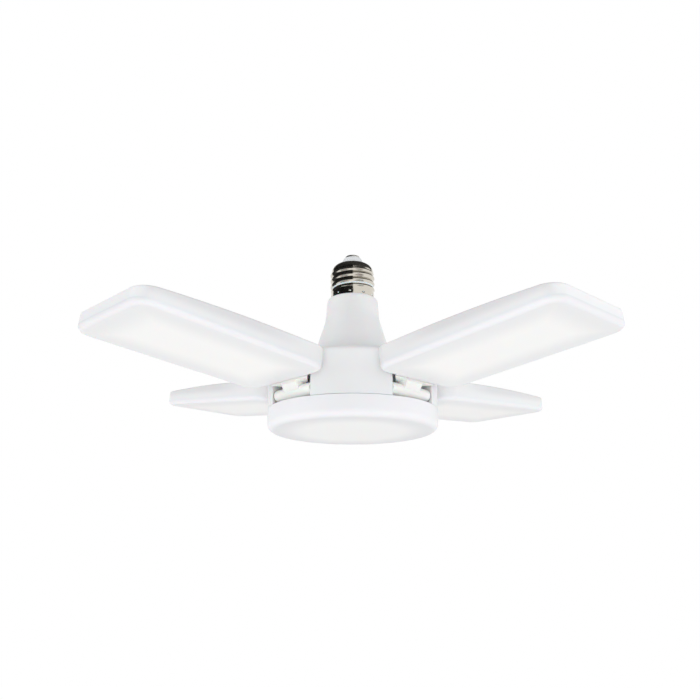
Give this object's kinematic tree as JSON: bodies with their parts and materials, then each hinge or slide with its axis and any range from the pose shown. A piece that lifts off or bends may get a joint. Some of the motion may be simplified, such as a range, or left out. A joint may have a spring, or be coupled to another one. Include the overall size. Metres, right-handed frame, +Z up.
{
  "type": "deformable garage light",
  "caption": "Screw-in ceiling lamp with a bell-necked hub, a round centre light and flat light panels on hinges that fold down.",
  "frame": {"origin": "on the lamp's axis, where the screw shell meets the collar of the hub housing", "axes": "+Z up along the screw base into the lamp holder; the panels stand at 45, 135, 225 and 315 degrees round +Z from +X; the picture looks along +Y from below"},
  "size_m": [0.2558, 0.2558, 0.1065],
  "materials": {
    "plated_shell": "bright nickel plate",
    "white_insulator": "gloss",
    "contact_metal": "satin",
    "white_housing": "satin",
    "milky_lens": "milky satin",
    "led_board": "white solder mask",
    "led_chip": "yellow phosphor",
    "steel_screw": "zinc plate",
    "circuit_board": "green solder mask",
    "yellow_tape": "polyester tape",
    "capacitor_box": "red resin",
    "black_resin": "moulded resin",
    "capacitor_can": "sleeved can",
    "ceramic": "lacquered",
    "lead_metal": "tinned",
    "knuckle_plastic": "satin",
    "washer_steel": "bright",
    "pin_steel": "bright"
  },
  "bodies": {
    "hub": {"screw_shell": "plated_shell", "base_insulator": "white_insulator", "centre_contact": "contact_metal", "hub_housing": "white_housing", "base_plate": "white_housing", "centre_lens": "milky_lens", "centre_led_board": "led_board", "centre_leds": "led_chip", "housing_screws": "steel_screw", "driver_board": "circuit_board", "transformer": "yellow_tape", "film_capacitor": "capacitor_box", "bridge_rectifier": "black_resin", "bulk_capacitor": "capacitor_can", "inductor": "black_resin", "fuse_resistor": "ceramic", "live_lead": "lead_metal", "neutral_lead": "lead_metal", "hinge_pin_front_left": "pin_steel", "hinge_washers_front_left": "washer_steel", "hinge_pin_front_right": "pin_steel", "hinge_washers_front_right": "washer_steel", "hinge_pin_rear_right": "pin_steel", "hinge_washers_rear_right": "washer_steel", "hinge_pin_rear_left": "pin_steel", "hinge_washers_rear_left": "washer_steel"},
    "leaf_front_left": {"leaf_housing_front_left": "white_housing", "leaf_lens_front_left": "milky_lens", "leaf_led_board_front_left": "led_board", "leaf_leds_front_left": "led_chip", "hinge_knuckle_front_left": "knuckle_plastic", "leaf_screws_front_left": "steel_screw"},
    "leaf_front_right": {"leaf_housing_front_right": "white_housing", "leaf_lens_front_right": "milky_lens", "leaf_led_board_front_right": "led_board", "leaf_leds_front_right": "led_chip", "hinge_knuckle_front_right": "knuckle_plastic", "leaf_screws_front_right": "steel_screw"},
    "leaf_rear_right": {"leaf_housing_rear_right": "white_housing", "leaf_lens_rear_right": "milky_lens", "leaf_led_board_rear_right": "led_board", "leaf_leds_rear_right": "led_chip", "hinge_knuckle_rear_right": "knuckle_plastic", "leaf_screws_rear_right": "steel_screw"},
    "leaf_rear_left": {"leaf_housing_rear_left": "white_housing", "leaf_lens_rear_left": "milky_lens", "leaf_led_board_rear_left": "led_board", "leaf_leds_rear_left": "led_chip", "hinge_knuckle_rear_left": "knuckle_plastic", "leaf_screws_rear_left": "steel_screw"}
  },
  "joints": [
    {"name": "hinge_front_left", "type": "hinge", "parent": "hub", "child": "leaf_front_left", "pos_m": [-0.0297, -0.0297, -0.0626], "axis": [0.7071, -0.7071, 0], "range_deg": [0, 75]},
    {"name": "hinge_front_right", "type": "hinge", "parent": "hub", "child": "leaf_front_right", "pos_m": [0.0297, -0.0297, -0.0626], "axis": [0.7071, 0.7071, 0], "range_deg": [0, 75]},
    {"name": "hinge_rear_right", "type": "hinge", "parent": "hub", "child": "leaf_rear_right", "pos_m": [0.0297, 0.0297, -0.0626], "axis": [-0.7071, 0.7071, 0], "range_deg": [0, 75]},
    {"name": "hinge_rear_left", "type": "hinge", "parent": "hub", "child": "leaf_rear_left", "pos_m": [-0.0297, 0.0297, -0.0626], "axis": [-0.7071, -0.7071, 0], "range_deg": [0, 75]}
  ]
}
